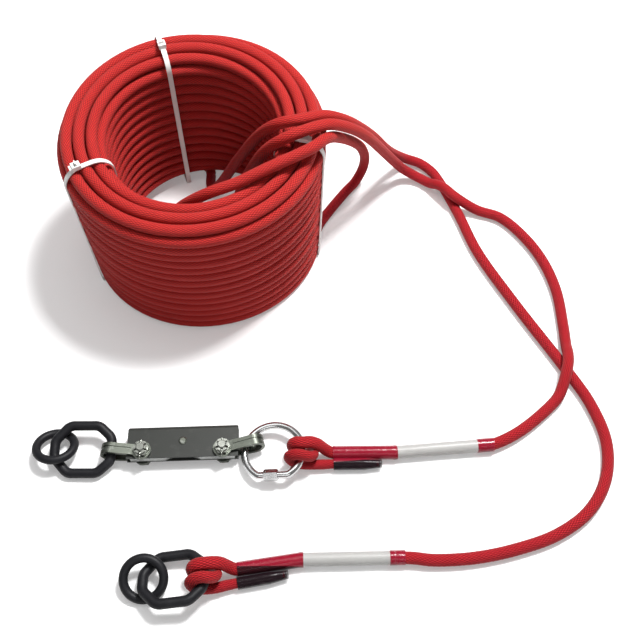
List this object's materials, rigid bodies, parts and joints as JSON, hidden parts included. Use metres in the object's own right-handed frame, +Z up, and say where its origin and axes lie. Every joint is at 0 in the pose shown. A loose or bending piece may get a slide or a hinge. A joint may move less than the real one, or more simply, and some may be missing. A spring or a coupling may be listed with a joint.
{
  "type": "tow rope",
  "caption": "Coiled braided tow rope held by cable ties, with a steel quick link and weak link at one end and oval links with round rings at both ends.",
  "frame": {"origin": "on the ground, under the middle of everything that lies on it: the middle of the bounding box seen from above", "axes": "+Z up from the ground, along the coil's axis; +Y away from the two fitted ends, towards the coil; +X to the right as the fitted ends are read, from their rings towards the rope"},
  "size_m": [0.5323, 0.5298, 0.1845],
  "materials": {
    "rope_weave": "braided, bright red",
    "rope_core": "braided, dark red in the shade",
    "dark_tape": "matt tape",
    "clear_tube": "clear shrink tube, glossy",
    "white_sleeve": "smooth white",
    "cable_tie": "natural white nylon",
    "quick_link_steel": "polished",
    "shackle_steel": "galvanised, dull",
    "bolt_steel": "zinc plated",
    "sleeve_paint": "dark grey-olive, satin",
    "insert_metal": "plain",
    "link_black": "black, satin"
  },
  "bodies": {
    "rope": {"rope_coil": "rope_weave", "rope_coil_core": "rope_core", "rope_loop": "rope_weave", "rope_run_a": "rope_weave", "rope_run_b": "rope_weave", "rope_eye_a": "rope_weave", "rope_eye_b": "rope_weave", "tail_tape_a": "dark_tape", "tail_tape_b": "dark_tape", "shrink_tube_a": "clear_tube", "shrink_tube_b": "clear_tube", "white_sleeve_a": "white_sleeve", "white_sleeve_b": "white_sleeve", "cable_tie_1": "cable_tie", "cable_tie_2": "cable_tie", "cable_tie_3": "cable_tie"},
    "quick_link": {"quick_link_body": "quick_link_steel"},
    "gate_nut": {"quick_link_nut": "quick_link_steel"},
    "right_shackle": {"shackle_right": "shackle_steel"},
    "weak_link": {"shackle_bolts": "bolt_steel", "castle_nuts": "bolt_steel", "split_pins": "bolt_steel", "weak_link_sleeve": "sleeve_paint", "sleeve_rivet": "bolt_steel", "weak_link_insert_primary": "insert_metal", "weak_link_insert_reserve": "insert_metal"},
    "left_shackle": {"shackle_left": "shackle_steel"},
    "oval_link_at_a": {"oval_link_a": "link_black"},
    "ring_at_a": {"round_ring_a": "link_black"},
    "oval_link_at_b": {"oval_link_b": "link_black"},
    "ring_at_b": {"round_ring_b": "link_black"}
  },
  "joints": [
    {"name": "quick_link_lift", "type": "hinge", "parent": "rope", "child": "quick_link", "pos_m": [-0.01929, -0.12168, 0.01535], "axis": [0, 1, 0], "range_deg": [0, 40]},
    {"name": "gate_nut_travel", "type": "slide", "parent": "quick_link", "child": "gate_nut", "axis": [0.9945, 0, 0.1047], "range_m": [0, 0.007]},
    {"name": "right_shackle_lift", "type": "hinge", "parent": "quick_link", "child": "right_shackle", "pos_m": [-0.07199, -0.12168, 0.0098], "axis": [0, 1, 0], "range_deg": [0, 12]},
    {"name": "right_bolt_swing", "type": "hinge", "parent": "right_shackle", "child": "weak_link", "pos_m": [-0.09154, -0.12028, 0.01165], "axis": [0, 0, 1], "range_deg": [-10, 10]},
    {"name": "left_bolt_swing", "type": "hinge", "parent": "weak_link", "child": "left_shackle", "pos_m": [-0.1647, -0.12283, 0.01165], "axis": [0, 0, 1], "range_deg": [-15, 15]},
    {"name": "oval_link_a_lift", "type": "hinge", "parent": "left_shackle", "child": "oval_link_at_a", "pos_m": [-0.19337, -0.12083, 0.01165], "axis": [0, 0.9563, 0.2924], "range_deg": [0, 25]},
    {"name": "ring_a_lift", "type": "hinge", "parent": "oval_link_at_a", "child": "ring_at_a", "pos_m": [-0.24415, -0.09979, 0.0055], "axis": [-0.9976, 0.0698, 0], "range_deg": [0, 20]},
    {"name": "oval_link_b_lift", "type": "hinge", "parent": "rope", "child": "oval_link_at_b", "pos_m": [-0.10034, -0.23608, 0.0168], "axis": [-0.0682, 0.9758, -0.2079], "range_deg": [0, 25]},
    {"name": "ring_b_lift", "type": "hinge", "parent": "oval_link_at_b", "child": "ring_at_b", "pos_m": [-0.15038, -0.25276, 0.0039], "axis": [0.9976, 0.0698, 0], "range_deg": [0, 40]}
  ]
}
